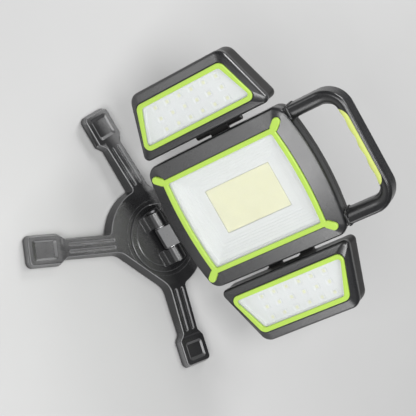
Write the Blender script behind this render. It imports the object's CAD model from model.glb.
"""A work light with three panels on a three-toed foot.

World axes: x to the right, -y to the front, z up, floor at z = 0. The lamp's pieces are drawn in
the lamp's own axes: u across, v up its face, n out of its face, with n = 0 at the front of the
centre trim. LAMP_M tilts them back about the hinge bolt. Each side lamp swings on its own hinge
axis, parallel to v. Sizes are in mm; MM turns them into metres.
"""
import math

import bmesh
import bpy
from mathutils import Matrix, Vector


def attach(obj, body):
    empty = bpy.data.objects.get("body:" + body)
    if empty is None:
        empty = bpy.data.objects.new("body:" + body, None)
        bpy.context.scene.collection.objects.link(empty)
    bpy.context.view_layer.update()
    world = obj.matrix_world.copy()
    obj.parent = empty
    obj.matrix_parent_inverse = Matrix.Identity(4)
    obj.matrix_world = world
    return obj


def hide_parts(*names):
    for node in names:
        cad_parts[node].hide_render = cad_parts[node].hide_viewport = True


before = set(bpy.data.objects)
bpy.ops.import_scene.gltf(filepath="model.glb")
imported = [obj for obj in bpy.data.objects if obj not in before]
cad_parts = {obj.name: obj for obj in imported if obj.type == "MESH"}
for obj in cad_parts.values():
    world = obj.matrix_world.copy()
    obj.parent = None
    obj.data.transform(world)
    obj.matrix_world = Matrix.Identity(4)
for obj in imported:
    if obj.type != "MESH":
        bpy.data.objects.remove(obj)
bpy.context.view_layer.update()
MM = 0.001

# ------------------------------------------------------------------ sizes shared with the frame
GAP = 0.3                                           # between neighbouring casing pieces
MAIN_U, MAIN_V, MAIN_R = 71.0, 82.0, 10.0           # centre casing: half sizes, corner radius
WINDOW_U, WINDOW_V, TRIM_WIDTH = 49.5, 61.0, 5.2    # its window: half sizes, width of the trim
SPLIT_N = -20.3                                     # where bezel and rear shell meet
HINGE_Z, HINGE_V, HINGE_N = 27.0, -105.0, -15.0     # tilt bolt, in the world and on the lamp
AXIS_U, AXIS_N = 74.0, -36.0                        # hinge axes of the side lamps
WING_REST = {"left": -1.3, "right": 2.8}            # degrees each side lamp is swung
LAMP_TILT = 64                                      # degrees about x
SIDES = (("left", -1), ("right", 1))
CORNERS = [(sx, sy) for sx in (-1, 1) for sy in (-1, 1)]

LAMP_M = (Matrix.Translation((0, 0, HINGE_Z * MM))
          @ Matrix.Rotation(math.radians(LAMP_TILT), 4, "X")
          @ Matrix.Translation((0, -HINGE_V * MM, -HINGE_N * MM)))


def wing_matrix(key, side):
    hinge = Matrix.Translation((AXIS_U * side * MM, 0, AXIS_N * MM))
    swing = Matrix.Rotation(-math.radians(WING_REST[key]) * side, 4, "Y")
    return LAMP_M @ hinge @ swing @ Matrix.Translation(-hinge.translation)


# where the pieces of each body are seated
SEATS = {"foot": Matrix.Identity(4), "turntable": Matrix.Identity(4),
         "lamp": LAMP_M, "button": LAMP_M, "cover": LAMP_M}
for key, side in SIDES:
    SEATS[key + "_wing"] = wing_matrix(key, side)


# ================================================================== outlines
def clean(points, tol=1e-4):
    """Drops points that repeat their neighbour."""
    out = []
    for p in points:
        if not out or math.hypot(p[0] - out[-1][0], p[1] - out[-1][1]) > tol:
            out.append((float(p[0]), float(p[1])))
    if math.hypot(out[0][0] - out[-1][0], out[0][1] - out[-1][1]) < tol:
        out.pop()
    return out


def ccw(points):
    area = sum(p[0] * q[1] - q[0] * p[1] for p, q in zip(points, points[1:] + points[:1]))
    return points if area > 0 else list(reversed(points))


def inset(points, distance):
    """A counter-clockwise outline moved inwards."""
    out = []
    for i, point in enumerate(points):
        p, before, after = Vector(point), Vector(points[i - 1]), Vector(points[(i + 1) % len(points)])
        edge_in, edge_out = (p - before).normalized(), (after - p).normalized()
        normal_in = Vector((-edge_in.y, edge_in.x))
        mitre = normal_in + Vector((-edge_out.y, edge_out.x))
        mitre = normal_in.copy() if mitre.length < 1e-6 else mitre.normalized()
        cosine = max(0.4, mitre.dot(normal_in))
        out.append((p.x + mitre.x * distance / cosine, p.y + mitre.y * distance / cosine))
    return out


def rounded(corners, seg=10):
    """A polygon of (x, y, radius) corners with arcs of seg steps."""
    out = []
    for i, (x, y, r) in enumerate(corners):
        p = Vector((x, y))
        if r <= 1e-6:
            out.append((p.x, p.y))
            continue
        back = Vector(corners[i - 1][:2]) - p
        ahead = Vector(corners[(i + 1) % len(corners)][:2]) - p
        len_back, len_ahead = back.length, ahead.length
        back.normalize()
        ahead.normalize()
        half = back.angle(ahead) / 2
        reach = min(r / math.tan(half), 0.49 * len_back, 0.49 * len_ahead)
        radius = reach * math.tan(half)
        centre = p + (back + ahead).normalized() * (radius / math.sin(half))
        start = (p + back * reach) - centre
        angle = start.angle_signed((p + ahead * reach) - centre)
        for k in range(seg + 1):
            spoke = start.copy()
            spoke.rotate(Matrix.Rotation(-angle * k / seg, 2))
            out.append((centre.x + spoke.x, centre.y + spoke.y))
    return out


def rect(x0, x1, y0, y1, r, seg):
    return rounded([(x0, y0, r), (x1, y0, r), (x1, y1, r), (x0, y1, r)], seg)


def oblong(a, b, r, seg):
    """A centred rounded rectangle of half sizes a and b."""
    return rounded([(a, -b, r), (a, b, r), (-a, b, r), (-a, -b, r)], seg)


def plus(arm, half, x=0, y=0):
    """A cross-shaped outline: the reach of its arms and their half width."""
    a, b = arm, half
    points = [(b, -a), (b, -b), (a, -b), (a, b), (b, b), (b, a),
              (-b, a), (-b, b), (-a, b), (-a, -b), (-b, -b), (-b, -a)]
    return [(x + dx, y + dy) for dx, dy in points]


def main_ring(a, b, r, crown=0.10):
    """Centre casing outline: its top and bottom edges bow outwards towards the middle."""
    points = oblong(a, b, r, 9)
    dense = []
    for i, p in enumerate(points):
        q = points[(i + 1) % len(points)]
        dense.append(p)
        if abs(p[1] - q[1]) < 1e-3 and abs(p[0] - q[0]) > a:
            dense += [(p[0] + (q[0] - p[0]) * j / 24, p[1]) for j in range(1, 24)]
        elif abs(p[0] - q[0]) < 1e-3 and abs(p[1] - q[1]) > b:
            dense += [(p[0], p[1] + (q[1] - p[1]) * j / 6) for j in range(1, 6)]
    return [(x, y * (1 + crown * (1 - (x / MAIN_U) ** 2))) for x, y in dense]


def wing_ring(u0, v0, u1, v1, r0, r1, side):
    """Side lamp outline: half height v0 at the hinge side u0, half height v1 at the far side u1."""
    points = rounded([(u0, -v0, r0), (u1, -v1, r1), (u1, v1, r1), (u0, v0, r0)], 10)
    return points if side > 0 else [(-x, y) for x, y in reversed(points)]


def soften(rows, seg=3):
    """Rounds the corners of a profile.

    A row holds ring sizes, a height, and last the corner's rounding; a rounding of 0 keeps it.
    """
    rings = [row[:-1] for row in rows]
    out = []
    for i, row in enumerate(rows):
        p, r = rings[i], row[-1]
        if not r:
            out.append(p)
            continue
        a, b = rings[i - 1], rings[(i + 1) % len(rings)]
        share_a = min(r / math.hypot(a[0] - p[0], a[-1] - p[-1]), 0.47)
        share_b = min(r / math.hypot(b[0] - p[0], b[-1] - p[-1]), 0.47)
        start = [x + (y - x) * share_a for x, y in zip(p, a)]
        end = [x + (y - x) * share_b for x, y in zip(p, b)]
        for j in range(seg + 1):
            t = j / seg
            out.append(tuple((1 - t) ** 2 * x + 2 * t * (1 - t) * c + t * t * y
                             for x, c, y in zip(start, p, end)))
    return out


def rim(z0, z1, r0=0, r1=0, seg=4):
    """(inset, height) pairs up the edge of a slab, rounded by r0 below and r1 above."""
    turns = [math.pi / 2 * i / seg for i in range(seg + 1)]
    low = [(r0 * (1 - math.sin(t)), z0 + r0 * (1 - math.cos(t))) for t in turns] if r0 else [(0, z0)]
    high = [(r1 * (1 - math.cos(t)), z1 - r1 * (1 - math.sin(t))) for t in turns] if r1 else [(0, z1)]
    return low + high


# ================================================================== solids
def solid(bm, name="part"):
    bmesh.ops.recalc_face_normals(bm, faces=bm.faces)
    mesh = bpy.data.meshes.new(name)
    bm.to_mesh(mesh)
    bm.free()
    obj = bpy.data.objects.new(name, mesh)
    bpy.context.scene.collection.objects.link(obj)
    return obj


def wall(bm, loops):
    for low, high in zip(loops, loops[1:]):
        for i in range(len(low)):
            j = (i + 1) % len(low)
            bm.faces.new((low[i], low[j], high[j], high[i]))


def cap(bm, bottom, top):
    bm.faces.new(list(reversed(bottom)))
    bm.faces.new(top)


def loft(rings, closed=False):
    """Skins (outline, height) rings; closed joins the last ring to the first."""
    bm = bmesh.new()
    loops = [[bm.verts.new((x * MM, y * MM, z * MM)) for x, y in points] for points, z in rings]
    if closed:
        wall(bm, loops + loops[:1])
    else:
        wall(bm, loops)
        cap(bm, loops[0], loops[-1])
    return solid(bm)


def main_loft(rows, closed=False):
    """Rows of main_ring sizes and a height."""
    return loft([(main_ring(*row[:-1]), row[-1]) for row in rows], closed)


def wing_loft(rows, side, closed=False):
    """Rows of wing_ring sizes and a height."""
    return loft([(wing_ring(*row[:-1], side), row[-1]) for row in rows], closed)


def sections(rows):
    """Skins rows of 3-D points, all of one length."""
    bm = bmesh.new()
    loops = [[bm.verts.new(Vector(p) * MM) for p in row] for row in rows]
    wall(bm, loops)
    cap(bm, loops[0], loops[-1])
    bmesh.ops.remove_doubles(bm, verts=bm.verts, dist=1e-6)
    return solid(bm)


def slab(outer, profile, holes=()):
    """A flat plate with holes; profile is its edge as (inset, height) pairs."""
    bm = bmesh.new()
    top, bottom = [], []
    for outline, sign in [(outer, 1)] + [(hole, -1) for hole in holes]:
        outline = ccw(clean(outline))
        loops = []
        for d, z in profile:
            ring = inset(outline, d * sign) if d else outline
            loops.append([bm.verts.new((x * MM, y * MM, z * MM)) for x, y in ring])
        wall(bm, loops)
        bottom.append(loops[0])
        top.append(loops[-1])
    if holes:
        for group in (bottom, top):
            edges = [bm.edges.get((loop[i], loop[(i + 1) % len(loop)]))
                     for loop in group for i in range(len(loop))]
            bmesh.ops.triangle_fill(bm, use_beauty=True, use_dissolve=False, edges=edges)
    else:
        cap(bm, bottom[0], top[0])
    return solid(bm)


def box(x0, x1, y0, y1, z0, z1, corner=0.0, edge=0.0):
    x0, x1 = sorted((x0, x1))
    points = [(x1, y0), (x1, y1), (x0, y1), (x0, y0)]
    if corner:
        points = rounded([(*p, corner) for p in points], 6)
    return slab(points, rim(z0, z1, edge, edge, 3))


def rod(p0, p1, r, n=48, edge=0.0):
    """A cylinder, or prism of n sides, between two points."""
    p0, p1 = Vector(p0) * MM, Vector(p1) * MM
    axis = p1 - p0
    circle = [(r * math.cos(2 * math.pi * i / n), r * math.sin(2 * math.pi * i / n))
              for i in range(n)]
    part = loft([([(x * (r - d) / r, y * (r - d) / r) for x, y in circle], z)
                 for d, z in rim(0, axis.length / MM, edge, edge, 3)])
    part.data.transform(Matrix.Translation(p0) @ axis.to_track_quat("Z", "Y").to_matrix().to_4x4())
    return part


def bolt_rod(x0, x1, r, n=48, edge=0.0):
    """A rod along the tilt bolt."""
    return rod((x0, 0, HINGE_Z), (x1, 0, HINGE_Z), r, n, edge)


def hinge_rod(u, v0, v1, r, n=48, edge=0.0):
    """A rod along the hinge axis of a side lamp."""
    return rod((u, v0, AXIS_N), (u, v1, AXIS_N), r, n, edge)


def turned(profile, at=(0, 0), n=64):
    """Revolves (radius, height) pairs about a vertical axis.

    The profile starts and ends on the axis, or stays off it and is closed.
    """
    bm = bmesh.new()
    loops = []
    for r, z in profile:
        spokes = [(0, 0)]
        if r >= 1e-6:
            angles = [2 * math.pi * i / n for i in range(n)]
            spokes = [(r * math.cos(t), r * math.sin(t)) for t in angles]
        loops.append([bm.verts.new(((at[0] + x) * MM, (at[1] + y) * MM, z * MM))
                      for x, y in spokes])
    if abs(profile[0][0]) > 1e-6:
        loops.append(loops[0])
    for a, b in zip(loops, loops[1:]):
        for i in range(n):
            j = (i + 1) % n
            if len(a) == 1:
                bm.faces.new((a[0], b[i], b[j]))
            elif len(b) == 1:
                bm.faces.new((a[i], a[j], b[0]))
            else:
                bm.faces.new((a[i], a[j], b[j], b[i]))
    return solid(bm)


def along_x(part):
    """Stands a slab up: its outline (x, y) becomes (y, z) and its height runs along x."""
    part.data.transform(Matrix(((0, 0, 1, 0), (1, 0, 0, 0), (0, 1, 0, 0), (0, 0, 0, 1))))
    return part


def along_v(part, start, direction=1):
    """Stands a slab up: its outline becomes (u, n) and its height runs along v from start."""
    part.data.transform(Matrix(((1, 0, 0, 0), (0, 0, direction, start * MM),
                                (0, 1, 0, 0), (0, 0, 0, 1))))
    return part


def merge(parts):
    bm = bmesh.new()
    for part in parts:
        bm.from_mesh(part.data)
        bpy.data.objects.remove(part, do_unlink=True)
    return solid(bm)


def boolean(target, tool, operation):
    modifier = target.modifiers.new("b", "BOOLEAN")
    modifier.operation, modifier.solver, modifier.object = operation, "EXACT", tool
    bpy.context.view_layer.update()
    evaluated = target.evaluated_get(bpy.context.evaluated_depsgraph_get())
    mesh = bpy.data.meshes.new_from_object(evaluated)
    target.modifiers.remove(modifier)
    old = target.data
    target.data = mesh
    bpy.data.meshes.remove(old)
    bm = bmesh.new()
    bm.from_mesh(mesh)
    bmesh.ops.remove_doubles(bm, verts=bm.verts, dist=2e-7)
    bmesh.ops.dissolve_degenerate(bm, edges=bm.edges, dist=2e-7)
    bm.to_mesh(mesh)
    bm.free()
    bpy.data.objects.remove(tool, do_unlink=True)
    return target


def cut(target, *tools):
    for tool in tools:
        boolean(target, tool, "DIFFERENCE")
    return target


def join(target, *tools):
    for tool in tools:
        boolean(target, tool, "UNION")
    return target


# ================================================================== finishes
class Net:
    """A material's node tree, with short calls for the nodes used here."""

    def __init__(self, name):
        self.material = bpy.data.materials.new(name)
        self.material.use_nodes = True
        self.tree = self.material.node_tree
        self.tree.nodes.clear()
        self.output = self.add("OutputMaterial")
        self.coords = self.add("TexCoord").outputs["Object"]

    def put(self, socket, value):
        """Links a socket, or sets a number or colour."""
        if isinstance(value, bpy.types.NodeSocket):
            self.tree.links.new(value, socket)
        elif isinstance(value, tuple) and socket.type == "RGBA":
            socket.default_value = (*value, 1.0)
        else:
            socket.default_value = value

    def add(self, kind, inputs=None, **settings):
        node = self.tree.nodes.new("ShaderNode" + kind)
        for key, value in settings.items():
            setattr(node, key, value)
        for key, value in (inputs or {}).items():
            self.put(node.inputs[key], value)
        return node

    def finish(self, shader):
        self.put(self.output.inputs[0], shader.outputs[0])
        return self.material

    def noise(self, scale, detail, rough=0.6, stretch=None):
        vector = self.coords
        if stretch:
            vector = self.add("Mapping", {"Scale": stretch, "Vector": vector}).outputs["Vector"]
        return self.add("TexNoise", {"Scale": scale, "Detail": detail, "Roughness": rough,
                                     "Vector": vector}).outputs["Fac"]

    def remap(self, value, source, target):
        """Maps the source span of a value onto the target span."""
        return self.add("MapRange", {"From Min": source[0], "From Max": source[1],
                                     "To Min": target[0], "To Max": target[1],
                                     "Value": value}).outputs["Result"]

    def math(self, operation, a, b, clamp=False):
        return self.add("Math", {0: a, 1: b}, operation=operation, use_clamp=clamp).outputs[0]

    def mix(self, factor, a, b):
        return self.add("Mix", {"Factor": factor, 6: a, 7: b}, data_type="RGBA").outputs[2]

    def bump(self, height, strength, distance, normal=None):
        inputs = {"Strength": strength, "Distance": distance, "Height": height}
        if normal:
            inputs["Normal"] = normal
        return self.add("Bump", inputs).outputs["Normal"]

    def edge(self, radius, wide=0.0):
        """Edge mask (1 on edges, 0 on open faces) and rounded normal.

        wide is a larger radius for the mask alone.
        """
        bevel = mask = self.add("Bevel", {"Radius": radius * MM}, samples=4)
        source = (0.02, 0.22)
        if wide:
            mask = self.add("Bevel", {"Radius": wide * MM}, samples=6)
            source = (0.035, 0.16)
        normal = self.add("NewGeometry").outputs["Normal"]
        dot = self.add("VectorMath", {0: mask.outputs["Normal"], 1: normal},
                       operation="DOT_PRODUCT").outputs["Value"]
        turn = self.math("SUBTRACT", 1.0, dot)
        return self.remap(turn, source, (0.0, 1.0)), bevel.outputs["Normal"]


def scaled(colour, factor, lift=0.0):
    return tuple(min(1, c * factor + lift) for c in colour)


def plastic(name, colour, rough, grain=0.10, scale=1900.0, wear=0.35, wear_colour=None, vary=0.10,
            spec=0.5, round_r=0.35, sheen=0.0, sss=0.0, blotch=0.10, wide=0.0, burnish=0.0):
    """Moulded plastic: fine grain, cloudy tone and roughness, and edges worn lighter."""
    net = Net(name)
    fine = net.noise(scale, 2.0)
    mid = net.noise(260.0, 4.0)
    coarse = net.noise(22.0, 5.0)
    edge, round_normal = net.edge(round_r, wide)
    base = net.mix(net.remap(coarse, (0.3, 0.7), (0.0, 1.0)),
                   tuple(c * (1 - blotch) for c in colour), scaled(colour, 1 + blotch))
    base = net.mix(net.remap(fine, (0.35, 0.75), (0.0, 0.25)), base, tuple(c * 0.75 for c in colour))
    worn = net.math("MULTIPLY", edge, net.remap(mid, (0.35, 0.75), (0.25 * wear, wear)), clamp=True)
    if burnish:
        # rounds and sloped walls are lighter than flat tops and upright sides
        normal = net.add("NewGeometry").outputs["Normal"]
        up = net.add("SeparateXYZ", {0: normal}).outputs["Z"]
        slope = net.math("MULTIPLY", net.remap(up, (0.18, 0.34), (0.0, 1.0)),
                         net.remap(up, (0.86, 0.96), (1.0, 0.0)))
        worn = net.math("MAXIMUM", worn, net.math("MULTIPLY", slope, burnish))
    base = net.mix(worn, base, wear_colour or scaled(colour, 1.9, 0.02))
    roughness = net.remap(coarse, (0.25, 0.75), (rough - vary, rough + vary))
    roughness = net.math("ADD", roughness, net.remap(fine, (0.3, 0.7), (-0.04, 0.05)))
    roughness = net.math("SUBTRACT", roughness, net.math("MULTIPLY", edge, 0.08), clamp=True)
    bump = net.bump(fine, strength=grain, distance=0.00008, normal=round_normal)
    inputs = {"Base Color": base, "Roughness": roughness, "Specular IOR Level": spec,
              "Normal": net.bump(mid, strength=grain * 0.6, distance=0.0002, normal=bump)}
    if sheen:
        inputs.update({"Sheen Weight": sheen, "Sheen Roughness": 0.5})
    if sss:
        inputs.update(scatter(sss))
    return net.finish(net.add("BsdfPrincipled", inputs))


def scatter(weight):
    """Subsurface inputs shared by the light plastics and the phosphors."""
    return {"Subsurface Weight": weight, "Subsurface Radius": (0.002, 0.002, 0.001),
            "Subsurface Scale": 0.5}


def metal(name, colour, rough, stretch=(60.0, 1.0, 1.0), scale=900.0, bump=0.12, spots=0.12):
    """Brushed metal: noise stretched into lines, with cloudy spots."""
    net = Net(name)
    lines = net.noise(scale, 4.0, stretch=stretch)
    cloud = net.noise(90.0, 5.0)
    edge, round_normal = net.edge(0.25)
    base = net.mix(net.remap(cloud, (0.3, 0.7), (0.0, 1.0)),
                   tuple(c * (1 - spots) for c in colour), scaled(colour, 1 + spots))
    base = net.mix(net.math("MULTIPLY", edge, 0.5), base, scaled(colour, 1.5, 0.05))
    roughness = net.math("ADD", net.remap(cloud, (0.2, 0.8), (rough - 0.08, rough + 0.1)),
                         net.remap(lines, (0.3, 0.7), (-0.05, 0.06)), clamp=True)
    normal = net.bump(lines, strength=bump, distance=0.00005, normal=round_normal)
    return net.finish(net.add("BsdfPrincipled", {
        "Base Color": base, "Metallic": 1.0, "Roughness": roughness, "Normal": normal}))


def clear_sheet(name, haze, tint=(0.97, 0.985, 0.98)):
    """Moulded clear cover: see-through, with a soft reflection and a slight milky haze."""
    net = Net(name)
    clear = net.add("BsdfTransparent", {"Color": tint})
    fine = net.noise(700.0, 3.0)
    coarse = net.noise(30.0, 4.0)
    gloss = net.add("BsdfGlossy", {
        "Color": (1, 1, 1), "Roughness": net.remap(coarse, (0.3, 0.7), (0.072, 0.18)),
        "Normal": net.bump(fine, strength=0.06, distance=0.0001)})
    milky = net.add("BsdfDiffuse", {"Color": (0.93, 0.94, 0.94)})
    fresnel = net.add("Fresnel", {"IOR": 1.42})
    hazy = net.add("MixShader", {0: net.remap(fine, (0.3, 0.7), (haze * 0.7, haze * 1.3)),
                                 1: clear.outputs[0], 2: milky.outputs[0]})
    return net.finish(net.add("MixShader", {
        0: net.math("MULTIPLY", fresnel.outputs[0], 0.5), 1: hazy.outputs[0], 2: gloss.outputs[0]}))


def phosphor(name, colour, cell=1400.0):
    """Silicone-coated emitter: pale yellow with a fine cell pattern and cloudy density."""
    net = Net(name)
    cells = net.add("TexVoronoi", {"Scale": cell, "Vector": net.coords}).outputs["Distance"]
    cloud = net.noise(45.0, 5.0)
    base = net.mix(net.remap(cloud, (0.3, 0.7), (0.0, 1.0)),
                   tuple(c * 0.96 for c in colour), scaled(colour, 1.04))
    base = net.mix(net.remap(cells, (0.0, 0.7), (0.22, 0.0)), base, (0.90, 0.84, 0.45))
    return net.finish(net.add("BsdfPrincipled", {
        "Base Color": base, "Roughness": net.remap(cloud, (0.2, 0.8), (0.45, 0.62)),
        "Normal": net.bump(cells, strength=0.15, distance=0.0001), **scatter(0.15)}))


CASING = plastic("casing_satin", (0.0150, 0.0151, 0.0163), 0.29, grain=0.12, wear=0.6,
                 wear_colour=(0.12, 0.12, 0.125), vary=0.05, spec=0.95)
REAR = plastic("casing_rear", (0.0165, 0.0155, 0.0150), 0.38, grain=0.16, wear=0.5,
               wear_colour=(0.10, 0.097, 0.095), vary=0.06)
FRAME = plastic("frame_satin", (0.0150, 0.0150, 0.0160), 0.29, wear=1.0,
                wear_colour=(0.36, 0.36, 0.365), vary=0.05, spec=0.7, wide=1.9, burnish=0.55)
HANDLE = plastic("handle_satin", (0.0155, 0.0155, 0.0165), 0.28, grain=0.04, wear=0.5,
                 wear_colour=(0.14, 0.14, 0.145), vary=0.05, spec=0.7)
LIME = plastic("trim_lime", (0.47, 0.69, 0.105), 0.36, grain=0.05, scale=1500,
               wear_colour=(0.70, 0.92, 0.26), vary=0.06, blotch=0.04, sss=0.08)
GRIP = plastic("grip_soft", (0.68, 0.76, 0.20), 0.58, grain=0.22, scale=1300, wear=0.25,
               wear_colour=(0.82, 0.90, 0.42), vary=0.08, sheen=0.2, blotch=0.05, sss=0.08)
WHITE = plastic("reflector_white", (0.88, 0.885, 0.89), 0.36, grain=0.02, wear=0.15,
                wear_colour=(0.93, 0.93, 0.93), vary=0.06, blotch=0.012, round_r=0.2)
BOARD_WHITE = plastic("led_board_white", (0.87, 0.875, 0.88), 0.45, grain=0.03, wear=0.1,
                      wear_colour=(0.92, 0.92, 0.92), vary=0.06, blotch=0.015, round_r=0.2)
RUBBER = plastic("rubber_black", (0.012, 0.012, 0.012), 0.72, grain=0.35, scale=1500, wear=0.3,
                 wear_colour=(0.05, 0.05, 0.05))
DISC = plastic("turntable_satin", (0.0115, 0.0115, 0.0125), 0.28, grain=0.08, wear=1.0,
               wear_colour=(0.22, 0.22, 0.225), vary=0.05, spec=0.8, wide=1.2, burnish=0.22)
STEEL = metal("steel_brushed", (0.50, 0.50, 0.51), 0.32)
DARK = metal("steel_blackened", (0.10, 0.10, 0.105), 0.42, spots=0.2)
ALU = metal("aluminium", (0.74, 0.74, 0.75), 0.34, stretch=(1.0, 40.0, 1.0))
NICKEL = metal("magnet_nickel", (0.60, 0.59, 0.57), 0.20, stretch=(1.0, 1.0, 1.0), scale=300.0,
               bump=0.05)
GREEN = plastic("circuit_board", (0.02, 0.12, 0.06), 0.42, wear=0.2)
CELL = plastic("cell_wrap", (0.05, 0.12, 0.38), 0.34, grain=0.05, wear=0.3, vary=0.08)
CLEAR = clear_sheet("clear_cover", haze=0.05, tint=(0.985, 0.99, 0.99))
CLEAR_INDICATOR = clear_sheet("indicator_clear", haze=0.45)
PHOSPHOR = phosphor("cob_phosphor", (0.93, 0.91, 0.66))
PHOSPHOR_LED = phosphor("led_phosphor", (0.90, 0.90, 0.68), cell=2500.0)


def place(part, body, node, material, name=None, bevel=0.0, bevel_angle=40, segments=3, sharp=32):
    """Names a piece after the frame node it replaces, seats it on its body and finishes it."""
    name = "vis_" + (name or node)
    part.name = name
    part.data.name = name
    part.data.transform(SEATS[body])
    part.data.materials.clear()
    part.data.materials.append(material)
    if bevel:
        modifier = part.modifiers.new("edge", "BEVEL")
        modifier.width = bevel * MM
        modifier.segments = segments
        modifier.limit_method = "ANGLE"
        modifier.angle_limit = math.radians(bevel_angle)
        modifier.use_clamp_overlap = True
        modifier.miter_outer = "MITER_ARC"
        bpy.context.view_layer.update()
        evaluated = part.evaluated_get(bpy.context.evaluated_depsgraph_get())
        mesh = bpy.data.meshes.new_from_object(evaluated)
        part.modifiers.clear()
        part.data = mesh
        part.data.name = name
    part.data.shade_smooth()
    part.data.set_sharp_from_angle(angle=math.radians(sharp))
    normals = part.modifiers.new("normals", "WEIGHTED_NORMAL")
    normals.mode = "FACE_AREA_WITH_ANGLE"
    normals.weight = 50
    normals.keep_sharp = True
    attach(part, body)
    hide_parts(node)


# ================================================================== foot
HUB_CENTRE, HUB_R = (-1.0, -3.0), 57.0
BOTTOM, TOE_TOP, NECK_TOP, TOP = 2.0, 11.0, 12.2, 16.0    # heights
DRAFT = 2.2                                               # how far the side walls lean in
ROOT_BACK = 62                                            # heel of a toe to the arm's root

# how far an arm's top lies below the hub's: (distance inwards from the heel of the toe, drop)
ARM_DROP = [(0.2, TOP - TOE_TOP), (1.6, TOP - TOE_TOP - 0.3), (3.2, TOP - NECK_TOP + 0.15),
            (5.0, TOP - NECK_TOP), (20.0, TOP - NECK_TOP - 1.05), (36.0, 1.75), (50.0, 0.75),
            (60.0, 0.2), (68.0, 0.0)]
# grooves along an arm: (inset of the ends, half width, height above the arm's top)
GROOVE = [(1.1, 0.55, -1.25), (0.75, 0.9, -1.2), (0.15, 1.5, -0.45), (-0.15, 1.85, -0.12),
          (-0.7, 2.4, 0.02), (-0.8, 2.5, 3.0)]
GROOVE_FROM_SIDE = 7.4
# recess in a toe: (inset from tip, from heel, from sides, corner radius, height above the toe)
TOE_RECESS = [(9.6, 6.6, 8.6, 1.6, -1.35), (9.0, 6.0, 8.2, 1.9, -1.28), (6.2, 3.6, 6.7, 2.6, -0.16),
              (5.6, 3.1, 6.2, 3.0, 0.01), (5.5, 3.0, 6.1, 3.0, 3)]


class Leg:
    """A toe and its arm; places on it are (distance back from the tip, distance sideways)."""

    def __init__(self, tip_x, tip_y, heading, width, length, arm_width, groove):
        self.tip = Vector((tip_x, tip_y))
        self.out = Vector((math.cos(math.radians(heading)), math.sin(math.radians(heading))))
        self.side = Vector((-self.out.y, self.out.x))
        self.half, self.length, self.arm_half = width / 2, length, arm_width / 2
        self.groove = (length + groove[0], length + groove[1])

    def at(self, back, side):
        p = self.tip - self.out * back + self.side * side
        return (p.x, p.y)

    def back_of(self, x, y):
        return (self.tip - Vector((x, y))).dot(self.out)

    def centre(self):
        return self.at(self.length / 2, 0)

    def root(self, sign):
        return self.at(self.length + ROOT_BACK, sign * self.arm_half)

    def toe(self):
        """Corners from the neck round the toe and back to the neck."""
        half = [(self.length + 7, self.arm_half, 3), (self.length, self.half, 4), (0, self.half, 6)]
        return ([(*self.at(back, -side), r) for back, side, r in half]
                + [(*self.at(back, side), r) for back, side, r in reversed(half)])

    def patch(self, back0, back1, half, r, seg):
        corners = [(back0, -half), (back0, half), (back1, half), (back1, -half)]
        return ccw(rounded([(*self.at(*p), r) for p in corners], seg))

    def drop(self, back):
        marks = [(self.length + beyond, drop) for beyond, drop in ARM_DROP]
        if back <= marks[0][0]:
            return marks[0][1]
        for (b0, d0), (b1, d1) in zip(marks, marks[1:]):
            if back <= b1:
                return d0 + (d1 - d0) * (back - b0) / (b1 - b0)
        return 0.0


# tip x, tip y, heading in degrees, toe width, toe length, arm width, groove ends from the heel
LEGS = {
    "left": Leg(-147.0, 9.5, 180.0, 33.0, 33.0, 22.0, (8, 54)),
    "front": Leg(-64.0, -137.5, 244.2, 33.0, 36.0, 22.0, (9, 61)),
    "right": Leg(134.5, -33.0, -14.6, 33.0, 29.0, 22.5, (8, 54)),
}


def hub_hit(point, direction):
    """Where a line along an arm's side leaves the hub circle."""
    offset = Vector(point) - Vector(HUB_CENTRE)
    b = offset.dot(direction)
    return Vector(point) + direction * (
        -b + math.sqrt(max(b * b - (offset.dot(offset) - HUB_R ** 2), 0)))


def hub_arc(p0, p1, n):
    c = Vector(HUB_CENTRE)
    a0 = math.atan2(p0.y - c.y, p0.x - c.x)
    a1 = math.atan2(p1.y - c.y, p1.x - c.x)
    while a1 < a0:
        a1 += 2 * math.pi
    angles = [a0 + (a1 - a0) * i / (n + 1) for i in range(1, n + 1)]
    return [(c.x + HUB_R * math.cos(a), c.y + HUB_R * math.sin(a), 0) for a in angles]


def line_meet(p, d, q, e):
    """Where the line through p along d meets the line through q along e."""
    t = ((q[0] - p[0]) * e.y - (q[1] - p[1]) * e.x) / (d.x * e.y - d.y * e.x)
    return Vector((p[0] + d.x * t, p[1] + d.y * t))


def stand_outline():
    """Counter-clockwise from the left leg's neck; the last number of a corner is its radius."""
    left, front, right = LEGS["left"], LEGS["front"], LEGS["right"]
    left_front, left_back = hub_hit(left.root(1), left.out), hub_hit(left.root(-1), left.out)
    front_left, right_back = hub_hit(front.root(-1), front.out), hub_hit(right.root(1), right.out)
    # the straight edge between the front and right legs
    chord, chord_dir = Vector((-1.7, -46.7)), Vector((0.893, 0.45))
    front_right = line_meet(front.root(1), front.out, chord, chord_dir)
    right_front = line_meet(right.root(-1), right.out, chord, chord_dir)
    return (left.toe() + [(*left_front, 11)] + hub_arc(left_front, front_left, 14)
            + [(*front_left, 14)] + front.toe() + [(*front_right, 16), (*right_front, 18)]
            + right.toe() + [(*right_back, 12)] + hub_arc(right_back, left_back, 28)
            + [(*left_back, 12)])


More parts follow.
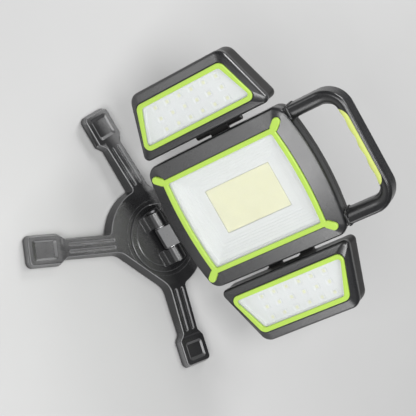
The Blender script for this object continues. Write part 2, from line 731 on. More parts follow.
def slope_arms(part):
    """Slopes the arms down from the hub to the lower toes."""
    bm = bmesh.new()
    bm.from_mesh(part.data)
    for leg in LEGS.values():
        for beyond, _ in ARM_DROP:
            x, y = leg.tip - leg.out * (leg.length + beyond)
            near = []
            for face in bm.faces:
                middle = face.calc_center_median()
                if leg.back_of(middle.x / MM, middle.y / MM) < leg.length + 110:
                    near.append(face)
            geom = list({v for f in near for v in f.verts}) + list({e for f in near for e in f.edges})
            bmesh.ops.bisect_plane(bm, geom=geom + near, plane_co=(x * MM, y * MM, 0),
                                   plane_no=(leg.out.x, leg.out.y, 0))
    for v in bm.verts:
        x, y, z = (c / MM for c in v.co)
        if z < 8:
            continue
        for leg in LEGS.values():
            back = leg.back_of(x, y)
            side = abs((Vector((x, y)) - leg.tip).dot(leg.side))
            if back < leg.length + ARM_DROP[-1][0] and side < leg.half * 2:
                v.co.z -= leg.drop(back) * MM
    bm.to_mesh(part.data)
    bm.free()
    return part


def stadium(b0, b1, side, half):
    """A long slot outline with round ends, in (back, side) pairs."""
    ends, steps = 8, 12
    span = b1 - b0 - 2 * half
    points = []
    for start, middle, first, way in ((math.pi / 2, b0 + half, b0 + half, 1),
                                      (-math.pi / 2, b1 - half, b1 - half, -1)):
        for i in range(ends + 1):
            a = start + math.pi * i / ends
            points.append((middle + half * math.cos(a), side + half * math.sin(a)))
        points += [(first + way * span * i / steps, side - way * half) for i in range(1, steps)]
    return points


def groove_tool(leg, side):
    """A cutter that follows the arm's slope."""
    rows = []
    for end_inset, half, height in GROOVE:
        slot = stadium(leg.groove[0] + end_inset, leg.groove[1] - end_inset, side, half)
        outline = ccw([leg.at(*p) for p in slot])
        rows.append([(x, y, TOP - leg.drop(leg.back_of(x, y)) + height) for x, y in outline])
    return sections(rows)


def make_foot():
    # edge as (inset, height): lower round, leaning wall, upper round
    profile = [(0.5, BOTTOM), (0.15, BOTTOM + 0.15), (0.0, BOTTOM + 0.5), (0.55, 6.0),
               (DRAFT - 0.55, 13.9)]
    for degrees in (8, 22, 36, 50, 64, 78, 90):
        a = math.radians(degrees)
        profile.append((DRAFT - 0.45 + 1.15 * (1 - math.cos(a)), TOP - 1.15 + 1.15 * math.sin(a)))
    foot = slope_arms(slab(rounded(stand_outline(), 9), profile))
    for leg in LEGS.values():
        groove_side = leg.arm_half - GROOVE_FROM_SIDE
        recess = [(leg.patch(tip, leg.length - heel, leg.half - side, r, 7), TOE_TOP + height)
                  for tip, heel, side, r, height in TOE_RECESS]
        magnet_pocket = [(0, 8.0), (9.3, 8.0), (9.3, 2.6), (9.9, 1.5), (0, 1.5)]
        cut(foot, groove_tool(leg, -groove_side), groove_tool(leg, groove_side), loft(recess),
            turned(magnet_pocket, leg.centre(), 48))
    stepped_bore = [(0, 20), (31.0, 20), (31.0, 15.0), (11.5, 15.0), (11.5, 8.3), (18.5, 8.3),
                    (18.5, 0), (0, 0)]
    ring_groove = [(40.0, 17.0), (40.9, 17.0), (40.6, 15.6), (40.3, 15.6)]
    cut(foot, turned(stepped_bore, n=96), turned(ring_groove, n=96))
    place(foot, "foot", "foot_frame", FRAME, sharp=28)


def toe_pad(leg):
    """Rubber sole with three slots across its underside near each end."""
    half = leg.half - 1.5
    pad = slab(leg.patch(1.5, leg.length - 1, half, 4.5, 8), rim(0.0, 1.7, 0.5, 0.2, 3))
    slots = []
    for j in range(3):
        for back in (4.5 + 3.0 * j, leg.length - 5.5 - 3.0 * j):
            slot = leg.patch(back, back + 1.1, half - 3, 0.5, 4)
            slots.append(loft([(inset(slot, 0), -1.0), (slot, 0.7)]))
    return cut(pad, merge(slots))


make_foot()
for key, leg in LEGS.items():
    magnet = soften([(0, 7.7, 0), (9.0, 7.7, 0.5), (9.0, 2.3, 0.6), (7.4, 2.3, 0), (7.2, 2.5, 0),
                     (0, 2.5, 0)])
    place(turned(magnet, leg.centre()), "foot", key + "_magnet", NICKEL)
    place(toe_pad(leg), "foot", key + "_toe_pad", RUBBER)

# (radius, height, rounding) rows
washer = [(12.0, 16.1, 0.2), (30.4, 16.1, 0.2), (30.4, 15.3, 0.2), (12.0, 15.3, 0.2)]
place(turned(soften(washer), n=96), "foot", "swivel_washer", WHITE)
retainer = [(2.2, 7.7, 0.2), (17.0, 7.7, 0.35), (17.0, 6.2, 0.35), (2.2, 6.2, 0.2)]
place(turned(soften(retainer), n=96), "turntable", "swivel_retainer", STEEL)
# round cap in the pocket below the swivel screw
hub_cap = [(0, 3.0, 0), (17.4, 3.0, 0.3), (18.2, 2.4, 0.3), (18.2, 0.6, 0.4), (17.6, 0.0, 0.4),
           (12.0, 0.0, 0), (11.6, 0.35, 0.1), (10.6, 0.35, 0.1), (10.2, 0.0, 0), (0, 0, 0)]
place(turned(soften(hub_cap), n=96), "foot", "hub_cap", RUBBER)
swivel_screw = [(0, 14.0, 0), (1.5, 14.0, 0.3), (1.5, 5.9, 0), (4.0, 5.9, 0), (4.0, 3.6, 0.5),
                (0, 3.6, 0)]
place(cut(turned(soften(swivel_screw), n=48), slab(plus(2.2, 0.5), rim(2.0, 5.0))),
      "turntable", "swivel_screw", DARK)

# ================================================================== turntable
EAR_X, EAR_R = (12.4, 28.0), 7.5    # span of an ear along the bolt, radius of its top
BOLT_BORE_R = 3.3


def make_turntable():
    disc = [(0, 18.3, 0), (29.2, 18.3, 0.3), (30.0, 17.6, 0.2), (35.6, 17.6, 0.3),
            (36.4, 16.9, 0.3), (36.4, 16.4, 0.1), (11.2, 16.4, 0), (11.2, 8.0, 0.4), (0, 8.0, 0)]
    table = turned(soften(disc), n=128)
    # an ear seen along the bolt: a round top on a straight neck, flared into its pad
    ear = [(-9.6, 18.0), (-8.3, 18.9), (-EAR_R, 20.4)]
    for i in range(29):
        a = math.pi * i / 28
        ear.append((-EAR_R * math.cos(a), HINGE_Z + EAR_R * math.sin(a)))
    ear += [(EAR_R, 20.4), (8.3, 18.9), (9.6, 18.0)]
    for _, side in SIDES:
        x0, x1 = sorted(x * side for x in EAR_X)
        join(table, box(x0, x1, -14.5, 14.5, 16.9, 18.8, corner=1.6, edge=0.35),
             along_x(slab(ear, rim(x0, x1, 0.5, 0.5))))
    nut_pocket = bolt_rod(23.6, 30, 5.9, 6)
    screw_hole = rod((0, 0, 7), (0, 0, 15), 1.8, 32)
    cut(table, bolt_rod(-40, 40, BOLT_BORE_R, 40), nut_pocket, screw_hole)
    place(table, "turntable", "turntable", DISC, sharp=28)


make_turntable()

# bolt with a hexagon socket in its head, nut, washers
bolt = join(bolt_rod(-31.2, -28.3, 6.0, 64, 0.55), bolt_rod(-29.0, 29.5, 3.0, 40, 0.4))
cut(bolt, bolt_rod(-34, -29.6, 2.9, 6))
place(bolt, "turntable", "tilt_bolt", DARK, bevel=0.12, segments=2)
nut = cut(bolt_rod(23.9, 28.2, 5.5, 6), bolt_rod(20, 32, 3.25, 40))
place(nut, "turntable", "tilt_nut", STEEL, bevel=0.35)
for key, side in SIDES:
    friction_washer = cut(bolt_rod(11.3 * side, 12.1 * side, 7.0, 64, 0.2),
                          bolt_rod(5 * side, 20 * side, BOLT_BORE_R, 40))
    place(friction_washer, "turntable", key + "_friction_washer", STEEL)


# ================================================================== tilt arm
def make_tilt_arm():
    """A round hub about the bolt, joined to a neck; its outline is (v, n)."""
    outline = [(-90.6, -23.0), (-90.6, -7.6)]
    for degrees in range(68, 271, 6):
        a = math.radians(degrees)
        outline.append((HINGE_V + 8.0 * math.cos(a), HINGE_N + 8.0 * math.sin(a)))
    outline.append((HINGE_V, -23.0))
    arm = along_x(slab(outline, rim(-11.0, 11.0, 0.5, 0.5)))
    cut(arm, rod((-20, HINGE_V, HINGE_N), (20, HINGE_V, HINGE_N), BOLT_BORE_R, 40),
        merge([rod((u, -100.5, -17.0), (u, -80, -17.0), 1.9, 24) for u in (-6, 6)]))
    place(arm, "lamp", "tilt_arm", FRAME, sharp=28)


make_tilt_arm()

# ================================================================== centre lamp
BOSSES = [(sx * 61.0, sy * 71.0) for sx, sy in CORNERS]
TRIM_OPENING = TRIM_WIDTH + GAP
LOBE_R = 4.0
PIN_U, PIN_N = 58.0, -15.5    # pins that hold the handle


def lobe_outline(sx, sy, r):
    """A round-ended tongue pointing out of one corner of the trim."""
    root, end = Vector((52.5 * sx, 68.0 * sy)), Vector((58.0 * sx, 74.5 * sy))
    d = (end - root).normalized()
    heading = math.atan2(d.y, d.x)
    points = [(end.x + r * math.cos(heading - math.pi / 2 + math.pi * i / 24),
               end.y + r * math.sin(heading - math.pi / 2 + math.pi * i / 24)) for i in range(25)]
    side = Vector((-d.y, d.x))
    return ccw(points + [tuple(root + side * r), tuple(root - side * r)])


def pin_holes(v0):
    return merge([rod((u, v0, PIN_N), (u, 97, PIN_N), 1.9, 24) for u in (-PIN_U, PIN_U)])


def make_bezel():
    # half width, half height, corner radius, n, rounding; round the section from the split line
    profile = [
        (MAIN_U - 0.8, MAIN_V - 0.8, MAIN_R, SPLIT_N, 0.35),
        (MAIN_U, MAIN_V, MAIN_R, -9.5, 1.6),
        (MAIN_U - 1.2, MAIN_V - 1.2, MAIN_R - 1, -7.3, 1.0),
        (WINDOW_U + TRIM_OPENING + 0.35, WINDOW_V + TRIM_OPENING + 0.35, 3.6, -1.45, 0.1),
        (WINDOW_U + TRIM_OPENING, WINDOW_V + TRIM_OPENING, 3.3, -1.55, 0.1),
        (WINDOW_U + TRIM_OPENING, WINDOW_V + TRIM_OPENING, 3.3, -3.5, 0),
        (WINDOW_U + 2.8, WINDOW_V + 2.8, 2.8, -3.5, 0),
        (WINDOW_U + 2.8, WINDOW_V + 2.8, 2.8, -5.6, 0),
        (WINDOW_U + 0.3, WINDOW_V + 0.3, 2.3, -5.6, 0.2),
        (WINDOW_U + 0.3, WINDOW_V + 0.3, 2.3, -12.0, 0),
        (60.0, 71.0, 6.0, -12.0, 0),
        (68.0, 78.6, 8.0, -14.5, 0),
        (68.0, 78.6, 8.0, SPLIT_N, 0.2),
    ]
    bezel = main_loft(soften(profile, 4), closed=True)
    for sx, sy in CORNERS:
        pocket = lobe_outline(sx, sy, LOBE_R + GAP)
        cut(bezel, loft([(pocket, -3.5), (pocket, -1.9), (inset(pocket, -0.3), 3.0)]))
    cut(bezel, pin_holes(77.5))
    place(bezel, "lamp", "main_front_bezel", CASING, sharp=24)


def crossing(p, q, a, b):
    """Where segment pq crosses segment ab, or None."""
    r, s = (q[0] - p[0], q[1] - p[1]), (b[0] - a[0], b[1] - a[1])
    den = r[0] * s[1] - r[1] * s[0]
    if abs(den) < 1e-9:
        return None
    t = ((a[0] - p[0]) * s[1] - (a[1] - p[1]) * s[0]) / den
    u = ((a[0] - p[0]) * r[1] - (a[1] - p[1]) * r[0]) / den
    return (p[0] + r[0] * t, p[1] + r[1] * t) if 0 <= t <= 1 and 0 <= u <= 1 else None


def inside(p, polygon):
    odd = False
    for (x0, y0), (x1, y1) in zip(polygon[-1:] + polygon, polygon):
        if (y0 > p[1]) != (y1 > p[1]) and p[0] < (x1 - x0) * (p[1] - y0) / (y1 - y0) + x0:
            odd = not odd
    return odd


def lobe_entry(p, q, lobes):
    """Where the step from p to q enters a tongue: the point, the tongue and its edge."""
    for lobe in lobes:
        hits = [(crossing(p, q, lobe[j - 1], lobe[j]), lobe, j) for j in range(len(lobe))]
        hits = [hit for hit in hits if hit[0]]
        if hits and not inside(p, lobe):
            return hits[-1]
    return None


def follow_lobe(entry, lobe, j, ring):
    """Walks a tongue until it comes back to the ring: the points, and the ring edge met."""
    walked, previous = [(entry, True)], entry
    while True:
        corner = lobe[j % len(lobe)]
        for edge in range(len(ring)):
            leave = crossing(previous, corner, ring[edge], ring[(edge + 1) % len(ring)])
            if leave and math.hypot(leave[0] - entry[0], leave[1] - entry[1]) > 0.5:
                return walked + [(leave, True)], edge
        walked.append((corner, False))
        previous = corner
        j += 1


def trim_outline():
    """The trim's outer outline with its tongues: (point, whether it is an inner corner) pairs."""
    ring = main_ring(WINDOW_U + TRIM_WIDTH, WINDOW_V + TRIM_WIDTH, 3.0)
    n = len(ring)
    lobes = [lobe_outline(sx, sy, LOBE_R) for sx, sy in CORNERS]
    start = next(k for k in range(n) if not any(inside(ring[k], lobe) for lobe in lobes))
    k, out = start, []
    while k < start + n:
        p, q = ring[k % n], ring[(k + 1) % n]
        out.append((p, False))
        entry = lobe_entry(p, q, lobes)
        if entry:
            walked, edge = follow_lobe(*entry, ring)
            out += walked
            k += (edge - k) % n
        k += 1
    return out


def fillet_marked(marked, r=2.2, seg=6):
    """Rounds the marked corners by walking r along the outline on both sides."""
    points = [p for p, _ in marked]
    n = len(points)
    dropped, fillets = set(), {}

    def walk(i, step):
        left, here = r, points[i]
        for _ in range(40):
            i = (i + step) % n
            x, y = points[i]
            length = math.hypot(x - here[0], y - here[1])
            if length >= left:
                share = left / length
                return (here[0] + (x - here[0]) * share, here[1] + (y - here[1]) * share)
            left -= length
            here = points[i]
            dropped.add(i)
        return here

    for i, (p, is_corner) in enumerate(marked):
        if is_corner:
            a, b = walk(i, -1), walk(i, 1)
            fillets[i] = [tuple((1 - t) ** 2 * a[c] + 2 * t * (1 - t) * p[c] + t * t * b[c]
                                for c in (0, 1)) for t in [s / seg for s in range(seg + 1)]]
    out = []
    for i in range(n):
        if i in fillets:
            out += fillets[i]
        elif i not in dropped:
            out.append(points[i])
    return out


make_bezel()
trim = slab(fillet_marked(trim_outline()), rim(-3.2, 0.0, 0.15, 1.1, 6),
            holes=[main_ring(WINDOW_U, WINDOW_V, 2.0)])
place(trim, "lamp", "main_trim", LIME, sharp=35)

place(main_loft([(WINDOW_U + 2.5 - d, WINDOW_V + 2.5 - d, 2.5, z)
                 for d, z in rim(-5.3, -3.5, 0.2, 0.35, 3)]), "lamp", "main_lens", CLEAR)

flange = [(WINDOW_U + 2.3, WINDOW_V + 2.3, 2.5, -5.54), (WINDOW_U + 2.3, WINDOW_V + 2.3, 2.5, -5.4),
          (WINDOW_U - 0.4, WINDOW_V - 0.4, 2.0, -5.4), (WINDOW_U - 0.4, WINDOW_V - 0.4, 2.0, -5.54)]
place(main_loft(flange, closed=True), "lamp", "main_reflector", WHITE,
      name="main_reflector_flange")


def reflector_level(f):
    """Ring of the stepped floor, f = 0 beside the emitter to 1 at the rim."""
    return (30.0 + 17.0 * f, 46.0 + 12.5 * f, 1.2 + 0.8 * f, 0.02 + 0.08 * f,
            -14.4 + 5.2 * f ** 1.25)


def make_reflector():
    """A shallow white tray whose floor drops to the emitter in small concentric steps."""
    # half width, half height, corner radius, crown, n; round the back, then up the front
    rows = [(WINDOW_U - 0.1, WINDOW_V - 0.1, 2.2, 0.10, -5.9),
            (WINDOW_U - 0.1, WINDOW_V - 0.1, 2.2, 0.10, -12.3),
            (54.0, 65.0, 4.0, 0.10, -12.3), (54.0, 65.0, 4.0, 0.10, -13.5),
            (47.5, 58.5, 3.0, 0.10, -13.5), (38.0, 52.0, 2.0, 0.0, -16.0),
            (24.5, 39.3, 0.8, 0.0, -16.0), (24.5, 39.3, 0.8, 0.0, -15.0),
            (25.3, 40.3, 0.9, 0.0, -14.75), (29.4, 45.2, 1.2, 0.01, -14.65)]
    steps = 6
    for i in range(steps):
        a, b, r, crown, z = reflector_level((i + 1) / steps)
        rows += [reflector_level(i / steps), (a - 0.35, b - 0.3, r, crown, z - 0.38)]
    rows += [(47.4, 58.9, 2.0, 0.10, -9.0), (48.3, 59.8, 2.0, 0.10, -6.2),
             (48.5, 60.0, 2.0, 0.10, -5.9)]
    place(main_loft(rows, closed=True), "lamp", "main_reflector", WHITE, sharp=12)


make_reflector()
place(loft([(oblong(24.1 - d, 38.9 - d, 0.8, 6), z) for d, z in rim(-16.0, -15.2, 0.05, 0.25, 3)]),
      "lamp", "cob_emitter", PHOSPHOR)


def cut_grooves(shell, u0, u1, count, n0, n1):
    """A row of shallow round-ended grooves across a back."""
    u0, u1 = sorted((u0, u1))
    for j in range(count):
        v = (j - (count - 1) / 2) * 6.0
        cut(shell, slab(rect(u0, u1, v - 1.1, v + 1.1, 1.0, 5), rim(n0, n1)))


def cut_screw_seats(shell, places, r, hole_end, head):
    """Screw holes and stepped pockets for the heads."""
    cut(shell, merge([rod((x, y, -40), (x, y, hole_end), r, 24) for x, y in places]),
        merge([turned(head, at, 40) for at in places]))


def make_rear_shell():
    # half width, half height, corner radius, n, rounding
    rear = main_loft(soften([
        (MAIN_U - 0.8, MAIN_V - 0.8, MAIN_R, SPLIT_N - GAP, 0),
        (MAIN_U - 1.6, MAIN_V - 1.6, MAIN_R - 0.5, -30.0, 2.5),
        (66.0, 77.0, 8.0, -34.0, 1.2), (63.8, 74.8, 7.0, -35.0, 1.0),
        (60.0, 71.0, 6.0, -35.0, 0)], 4))
    cut(rear, main_loft([(67.6, 78.4, 8.0, -15.0), (67.6, 78.4, 8.0, SPLIT_N - GAP),
                         (67.0, 78.0, 7.5, -29.4), (64.0, 75.0, 6.0, -32.6)]))
    for x, y in BOSSES:
        join(rear, rod((x, y, -33.0), (x, y, SPLIT_N - GAP), 4.0, 24))
    for _, side in SIDES:
        u = AXIS_U * side
        link = box(u, 65.0 * side, -10.8, 10.8, AXIS_N, AXIS_N + 3.2)
        join(rear, join(hinge_rod(u, -11.0, 11.0, 3.2, edge=0.35), link))
    cut_screw_seats(rear, BOSSES, 1.9, -15, [
        (0, -40), (3.8, -40), (3.8, -35.0), (3.3, -34.5), (3.3, -31.5), (0, -31.5)])
    button_hole = [(0, -40), (7.8, -40), (7.8, -35.1), (7.0, -34.4), (7.0, -30), (0, -30)]
    cover_pocket = box(-51.2, -32.8, -95, -85.0, -31.2, -21.4)
    port_slot = box(-47.3, -36.7, -90, -80, -28.5, -23.6)
    sunk_panel = slab(oblong(52, 24, 4, 8), rim(-35.6, -34.4))
    cut(rear, merge([hinge_rod(AXIS_U * side, -40, 40, 1.8, 32) for _, side in SIDES]),
        turned(button_hole, BUTTON_AT), rod((*INDICATOR_AT, -40), (*INDICATOR_AT, -30), 1.8, 32),
        cover_pocket, port_slot, sunk_panel)
    cut_grooves(rear, -44, 44, 7, -35.0, -33.9)
    place(rear, "lamp", "main_rear_shell", REAR, sharp=28)


def cross_screw(body, node, at, n_head, n_under, n_tip, head_r, shank_r):
    """Pan-head screw with a cross recess, its head facing -n."""
    profile = [(0, n_tip, 0), (shank_r * 0.6, n_tip, 0), (shank_r, n_tip - shank_r * 0.9, 0.1),
               (shank_r, n_under, 0), (head_r, n_under, 0.1), (head_r, n_head, 0.5),
               (0, n_head, 0)]
    recess = plus(head_r * 0.62, head_r * 0.16, *at)
    place(cut(turned(soften(profile), at, 48), slab(recess, rim(n_head - 1.0, n_head + 0.9))),
          body, node, DARK)


BUTTON_AT, INDICATOR_AT = (0, 45), (0, 62)
make_rear_shell()
for i, at in enumerate(BOSSES):
    cross_screw("lamp", "casing_screw_%d" % (i + 1), at, n_head=-33.4, n_under=-31.8,
                n_tip=-14.5, head_r=3.0, shank_r=1.4)

button = [(0, -26.9, 0), (2.0, -26.9, 0), (2.0, -30.7, 0), (8.4, -30.7, 0), (8.4, -32.0, 0),
          (6.6, -32.0, 0), (6.6, -34.4, 0.8), (5.2, -34.8, 0.5), (4.2, -34.5, 0.3), (0, -34.3, 0)]
place(turned(soften(button, 4), BUTTON_AT), "button", "power_button", RUBBER)
indicator = [(0, -31.6, 0), (1.5, -31.6, 0), (1.5, -34.4, 0.4), (0, -34.75, 0)]
place(turned(soften(indicator, 4), INDICATOR_AT, 40), "lamp", "indicator_lens", CLEAR_INDICATOR)
flap = along_v(slab(rect(-50.7, -33.3, -30.4, -22.0, 1.2, 6), rim(0, 1.3, 0.15, 0.35, 3)), -85.3, -1)
plug = along_v(slab(rect(-46.6, -37.4, -28.0, -24.2, 1.0, 5), rim(0, 1.5, 0.2, 0.2, 2)), -85.5)
place(join(flap, plug), "cover", "port_cover", RUBBER)

# ================================================================== handle
HANDLE_N = (-30.0, -9.0)                  # back and front of the bar
ARM_OUT, ARM_IN = 65.5, 51.0              # outer and inner side of its two arms, in u
BEND_U, BEND_V, BEND_R = 40.5, 118.0, 25.0    # centre and outer radius of its corners
GRIP_U = 41.4                             # half length of the grip's inner edge
FRONT_OUT_R, FRONT_IN_R = 3.6, 8.2        # rounds of the front face
BAR_STEPS = 26                            # steps across each face of a cross-section


def edge_drop(distance, r):
    """How far a round of radius r lies below the face, at a distance from the edge."""
    return 0.0 if distance >= r else r - math.sqrt(max(0.0, r * r - (r - distance) ** 2))


def wave(x):
    """Inner edge of the cross bar, in v: a shallow bow with a row of four finger waves."""
    t = (x + GRIP_U) / (2 * GRIP_U)
    return (131.3 + 1.0 * (1 - (abs(x) / GRIP_U) ** 6)
            + 2.0 * (1 - math.cos(2 * math.pi * 4 * t)) / 2 * (1 - (x / 60.0) ** 2))


bend = [(38.0 + 13.0 * math.cos(math.radians(t)), 116.5 + 15.2 * math.sin(math.radians(t)))
        for t in range(0, 75, 3)]
INNER = ([(ARM_IN, 70.0), (ARM_IN, 100.0)] + [p for p in bend if p[0] > 41.5] + [(GRIP_U, 131.2)]
         + [(x, wave(x)) for x in [GRIP_U * (1 - i / 60) for i in range(1, 61)]])


def inner_hit(dx, dy):
    """Where a ray from the bend's centre first meets the inner edge."""
    nearest = math.inf
    for (x0, y0), (x1, y1) in zip(INNER, INNER[1:]):
        rx, ry = x1 - x0, y1 - y0
        den = dx * ry - dy * rx
        if abs(den) < 1e-9:
            continue
        t = ((x0 - BEND_U) * ry - (y0 - BEND_V) * rx) / den
        u = ((x0 - BEND_U) * dy - (y0 - BEND_V) * dx) / den
        if 0.05 < t < nearest and -1e-6 <= u <= 1 + 1e-6:
            nearest = t
    return (BEND_U + dx * nearest, BEND_V + dy * nearest)


def bar_stations():
    """(outer, inner) edge points all along the bar, from right arm to left arm."""
    half = [((ARM_OUT, v), (ARM_IN, v)) for v in (80.0, 84.0, 90, 96, 102, 108, 114, 118)]
    for i in range(1, 37):
        a = math.radians(2.5 * i)
        dx, dy = math.cos(a), math.sin(a)
        half.append(((BEND_U + BEND_R * dx, BEND_V + BEND_R * dy), inner_hit(dx, dy)))
    for i in range(1, 55):
        x = BEND_U * (1 - i / 54)
        half.append(((x, BEND_V + BEND_R), (x, wave(x))))
    return half + [((-o[0], o[1]), (-i[0], i[1])) for o, i in reversed(half[:-1])]


def bar_section(outer, inner):
    """A crisp outer front edge, a front that rounds away inwards, a rounded back."""
    o = Vector(outer)
    across = Vector(inner) - o
    width = across.length
    across = across / width
    # the round follows the bar, not the waves cut into its inner edge
    up_bend = min(1.0, max(0.0, (outer[1] - BEND_V) / BEND_R))
    nominal = max(width, 14.5) * (1 - up_bend) + 12.2 * up_bend
    inner_r = FRONT_IN_R + 2.6 * (1 - up_bend)
    back, front = HANDLE_N
    row = []
    for k in range(BAR_STEPS + 1):
        w = width * (1 - math.cos(math.pi * k / BAR_STEPS)) / 2
        fall = max(edge_drop(w, FRONT_OUT_R), edge_drop(nominal - w, inner_r) * 0.85,
                   edge_drop(width - w, 1.5))
        row.append((*(o + across * w), front - fall - 0.4 * (w / nominal) ** 2))
    for k in range(BAR_STEPS + 1):
        w = width * (1 + math.cos(math.pi * k / BAR_STEPS)) / 2
        rise = max(edge_drop(w, 3.0), edge_drop(width - w, min(4.5, width * 0.4)))
        row.append((*(o + across * w), back + rise))
    return row


def whole_bar():
    return sections([bar_section(outer, inner) for outer, inner in bar_stations()])


def grip_block(gap):
    """A block over the grip's part of the bar: curved in at both ends, open on the inside."""
    a, b, end = 11.3 + gap, 8.1 + gap, 41.3 + gap
    points = [(-end, 120.0), (end, 120.0), (end, 131.3)]
    for sign, turns in ((1, range(6, 91, 6)), (-1, range(90, 5, -6))):
        points += [(sign * (30.0 + a * math.cos(math.radians(t))),
                    131.3 + b * math.sin(math.radians(t))) for t in turns]
    points.append((-end, 131.3))
    return loft([(points, -40), (points, 5)])


handle = cut(whole_bar(), grip_block(0.16))
for _, side in SIDES:
    # collar where an arm meets the casing
    collar = rounded([(49.8 * side, -30.6, 4.0), (66.6 * side, -30.6, 4.0),
                      (66.6 * side, -8.3, 3.2), (49.8 * side, -8.3, 6.4)], 9)
    join(handle, along_v(slab(collar, rim(0, 2.4, 0.3, 0.8, 5)), 85.4))
cut(handle, main_loft([(MAIN_U + 0.1, MAIN_V + 0.1, MAIN_R, n) for n in (-40, 5)]), pin_holes(70))
place(handle, "lamp", "handle", HANDLE, sharp=38)

# grip insert: the inner side of the same bar, with its finger waves
place(boolean(whole_bar(), grip_block(-0.08), "INTERSECT"), "lamp", "handle_grip", GRIP,
      bevel=0.3, bevel_angle=50, sharp=38)

# ================================================================== side lamps
# wing_ring sizes: hinge side u, its half height, far side u, its half height, the corner radii at
# the two sides; then n, and in the softened profiles the rounding
WING_BEZEL = [
    (77.6, 77.6, 143.4, 56.2, 5, 11.5, -14.0, 0.3), (77.0, 78.2, 144.0, 56.8, 5, 12, -7.6, 2.0),
    (78.5, 76.7, 142.5, 55.5, 4.5, 11, -5.0, 1.8), (85.1, 70.6, 134.0, 53.7, 7.2, 8.8, -2.4, 0.35),
    (85.9, 69.7, 133.1, 52.9, 6.8, 8.3, -2.4, 0.2), (85.9, 69.7, 133.1, 52.9, 6.8, 8.3, -3.9, 0),
    (88.8, 66.7, 130.4, 50.7, 4.0, 5.5, -3.9, 0), (88.8, 66.7, 130.4, 50.7, 4.0, 5.5, -5.8, 0),
    (91.0, 64.2, 128.2, 48.7, 2.8, 4.2, -5.8, 0.2), (91.0, 64.2, 128.2, 48.7, 2.8, 4.2, -9.0, 0),
    (87.0, 68.6, 132.5, 52.0, 3.0, 5.0, -9.0, 0), (79.8, 75.2, 141.0, 54.2, 4.0, 9.5, -10.5, 0),
    (79.8, 75.2, 141.0, 54.2, 4.0, 9.5, -14.0, 0.2)]
WING_TRIM = [
    (86.2, 69.3, 132.8, 52.5, 6.5, 8.0, -3.6, 0.1), (86.2, 69.3, 132.8, 52.5, 6.5, 8.0, -1.0, 1.1),
    (91.2, 63.9, 127.8, 48.3, 2.8, 4.0, -1.0, 1.0), (91.2, 63.9, 127.8, 48.3, 2.8, 4.0, -3.6, 0.1)]
WING_LINER = [
    (91.15, 64.0, 128.0, 48.5, 2.7, 4.1, -8.62), (91.15, 64.0, 128.0, 48.5, 2.7, 4.1, -5.74),
    (89.05, 66.4, 130.15, 50.45, 3.9, 5.4, -5.74), (89.05, 66.4, 130.15, 50.45, 3.9, 5.4, -5.58),
    (91.6, 63.5, 127.5, 48.1, 2.4, 3.8, -5.58), (92.3, 62.7, 126.8, 47.4, 2.0, 3.3, -8.62)]
WING_SHELL = [
    (78.0, 77.3, 143.1, 56.0, 5, 11.3, -14.3, 0), (78.2, 77.5, 143.0, 56.0, 5, 11.0, -30.0, 3.0),
    (79.4, 75.8, 141.0, 54.8, 4.8, 10.4, -33.5, 1.2),
    (81.0, 74.2, 139.4, 53.6, 4.3, 9.6, -34.5, 1.0), (84.0, 71.0, 136.4, 50.6, 4.0, 7.6, -34.5, 0)]
WING_HOLLOW = [
    (80.6, 74.6, 140.4, 53.6, 4.0, 9.3, -10.0), (80.6, 74.6, 140.4, 53.6, 4.0, 9.3, -14.3),
    (81.2, 74.0, 139.6, 53.0, 4.0, 9.0, -29.4), (83.6, 71.0, 135.4, 50.8, 3.5, 7.5, -32.3)]
# dished seat of an emitter: half size, corner radius, n
LED_SEAT = [(2.5, 0.9, -9.2), (2.9, 1.2, -9.08), (3.9, 1.8, -8.66), (4.2, 2.0, -8.55),
            (4.2, 2.0, -7.0)]
LED_U, LED_ROWS, LED_PITCH = (98.0, 110.0, 122.0), 6, 15.2


def make_leds(body, side):
    """Board, liner and eighteen small emitters, each in its own dished seat."""
    node = body + "_led_board"
    board = slab(wing_ring(88.0, 67.2, 131.2, 51.0, 3.2, 4.8, side), rim(-10.9, -8.6, 0.1, 0.15, 2))
    seats, frames, dots = [], [], []
    for u in LED_U:
        for j in range(LED_ROWS):
            v = (j - 2.5) * LED_PITCH

            def square(half, r):
                return rect(u * side - half, u * side + half, v - half, v + half, r, 4)
            seats.append(loft([(square(half, r), n) for half, r, n in LED_SEAT]))
            frames.append(slab(square(2.0, 0.35), rim(-9.4, -8.75, 0.05, 0.15, 2),
                               holes=[square(1.7, 0.4)]))
            dots.append(slab(square(1.68, 0.4), rim(-9.4, -8.7, 0.05, 0.3, 3)))
    place(cut(board, merge(seats)), body, node, BOARD_WHITE)
    place(wing_loft(WING_LINER, side, closed=True), body, node, BOARD_WHITE, name=body + "_liner")
    place(merge(frames), body, node, BOARD_WHITE, name=body + "_led_frames")
    place(merge(dots), body, node, PHOSPHOR_LED, name=body + "_led_dots")


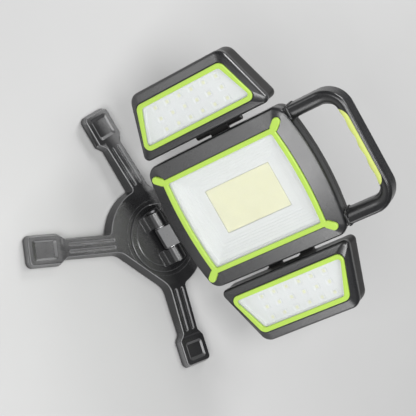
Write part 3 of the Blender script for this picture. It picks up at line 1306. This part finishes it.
def make_wing_shell(body, side):
    """Rear shell with its two hinge knuckles, and its screws."""
    screws = [(110.0 * side, 61.4), (110.0 * side, -61.4)]
    shell = cut(wing_loft(soften(WING_SHELL, 4), side), wing_loft(WING_HOLLOW, side))
    for x, y in screws:
        join(shell, rod((x, y, -33.2), (x, y, -14.3), 2.7, 32))
    u = AXIS_U * side
    for v0, v1 in ((-27.8, -11.3), (11.3, 27.8)):
        knuckle = join(hinge_rod(u, v0, v1, 3.2, edge=0.35),
                       box(u, 80.2 * side, v0 + 0.1, v1 - 0.1, AXIS_N, AXIS_N + 7.5))
        # outside the casing the link is only as high as the knuckle
        cut(knuckle, box(60 * side, 77.6 * side, v0 - 1, v1 + 1, AXIS_N + 3.2, AXIS_N + 12))
        join(shell, knuckle)
    cut_screw_seats(shell, screws, 1.6, -10, [
        (0, -40), (3.0, -40), (3.0, -34.9), (2.4, -34.2), (2.4, -32.0), (0, -32.0)])
    cut(shell, hinge_rod(u, -40, 40, 1.8, 32))
    cut_grooves(shell, 92.0 * side, 130.0 * side, 5, -35.2, -33.8)
    place(shell, body, body + "_rear_shell", REAR, sharp=28)
    for i, at in enumerate(screws):
        cross_screw(body, "%s_screw_%d" % (body, i + 1), at, n_head=-33.8, n_under=-32.4,
                    n_tip=-10.9, head_r=2.1, shank_r=1.2)


for key, side in SIDES:
    body = key + "_wing"
    place(wing_loft(soften(WING_BEZEL, 5), side, closed=True), body, body + "_bezel", CASING,
          sharp=24)
    place(wing_loft(soften(WING_TRIM, 6), side, closed=True), body, body + "_trim", LIME, sharp=35)
    place(wing_loft([(89.1 + d, 66.4 - d, 130.1 - d, 50.4 - d, 3.8, 5.2, z)
                     for d, z in rim(-5.5, -3.9, 0.15, 0.3, 3)], side), body, body + "_lens", CLEAR)
    make_leds(body, side)
    make_wing_shell(body, side)

# ================================================================== frame nodes kept as they are
KEPT = {
    "cob_board": ALU, "heat_sink": ALU, "driver_board": GREEN, "battery_pack": CELL,
    "tact_switch": DARK, "charge_port": STEEL, "handle_pin_1": DARK, "handle_pin_2": DARK,
    "left_hinge_pin": STEEL, "right_hinge_pin": STEEL, "arm_screw_1": DARK, "arm_screw_2": DARK,
}
for name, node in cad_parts.items():
    if not node.hide_render:
        node.data.materials.clear()
        node.data.materials.append(KEPT.get(name, CASING))


# ================================================================== stage, light, camera
def floor_finish():
    net = Net("floor_pale")
    base = net.mix(net.remap(net.noise(3.0, 4.0, rough=0.55), (0.3, 0.7), (0.0, 1.0)),
                   (0.55, 0.55, 0.547), (0.58, 0.58, 0.577))
    roughness = net.remap(net.noise(12.0, 4.0, rough=0.55), (0.3, 0.7), (0.75, 0.85))
    return net.finish(net.add("BsdfPrincipled", {
        "Base Color": base, "Roughness": roughness, "Specular IOR Level": 0.15}))


scene = bpy.context.scene
bm = bmesh.new()
bmesh.ops.create_grid(bm, x_segments=24, y_segments=24, size=4.0)
floor = solid(bm, "floor")
floor.data.materials.append(floor_finish())

world = bpy.data.worlds.new("studio")
scene.world = world
world.use_nodes = True
background = world.node_tree.nodes["Background"]
background.inputs["Color"].default_value = (0.95, 0.97, 1.0, 1)
background.inputs["Strength"].default_value = 0.12

# name, place and aim in metres, width, height, watts
LIGHTS = [
    ("top", (0.02, -0.34, 1.4), (0, -0.02, 0.05), 0.54, 0.54, 8.4),
    ("sky", (-0.13, 0.63, 1.3), (0, 0, 0.05), 0.42, 0.42, 4.6),
    ("face", (0.0, -0.90, 0.92), (0, 0, 0.15), 0.66, 0.44, 7.4),
    ("back_left", (-0.62, 0.95, 0.85), (0, 0, 0.05), 0.52, 0.42, 8.5),
    ("card", (0.68, -0.46, 0.12), (0.05, 0, 0.2), 0.44, 0.2, 1.4),
    ("card_left", (-0.68, -0.78, 0.12), (0.05, 0, 0.2), 0.42, 0.2, 1.2),
]
for name, location, aim, width, height, power in LIGHTS:
    light = bpy.data.lights.new(name, "AREA")
    light.shape = "RECTANGLE"
    light.size, light.size_y = width, height
    light.energy = power
    lamp = bpy.data.objects.new(name, light)
    scene.collection.objects.link(lamp)
    lamp.location = location
    lamp.rotation_euler = (Vector(aim) - Vector(location)).to_track_quat("-Z", "Y").to_euler()

# rows: the camera's right, down and forward directions in the lamp's axes
VIEW_AXES = Matrix(((0.4916, 0.7856, -0.3757), (0.8591, -0.3669, 0.3570),
                    (0.1426, -0.4983, -0.8552)))
# the lamp's origin as the camera sees it: right, down, forward, in mm
VIEW_ORIGIN = Vector((34.0, -4.4, 1280.7))

camera = bpy.data.cameras.new("camera")
camera.lens = 112.5
camera.sensor_width = 36.0
camera.clip_start, camera.clip_end = 0.05, 20.0
viewer = bpy.data.objects.new("camera", camera)
scene.collection.objects.link(viewer)
turn = VIEW_AXES.transposed()
pose = LAMP_M @ (Matrix.Translation(-(turn @ VIEW_ORIGIN) / 1000) @ turn.to_4x4()
                 @ Matrix.Diagonal((1, -1, -1, 1)))
viewer.matrix_world = (Matrix.Translation(pose.translation)
                       @ pose.to_quaternion().to_matrix().to_4x4())
scene.camera = viewer
scene.view_settings.view_transform = "Standard"
scene.view_settings.look = "None"
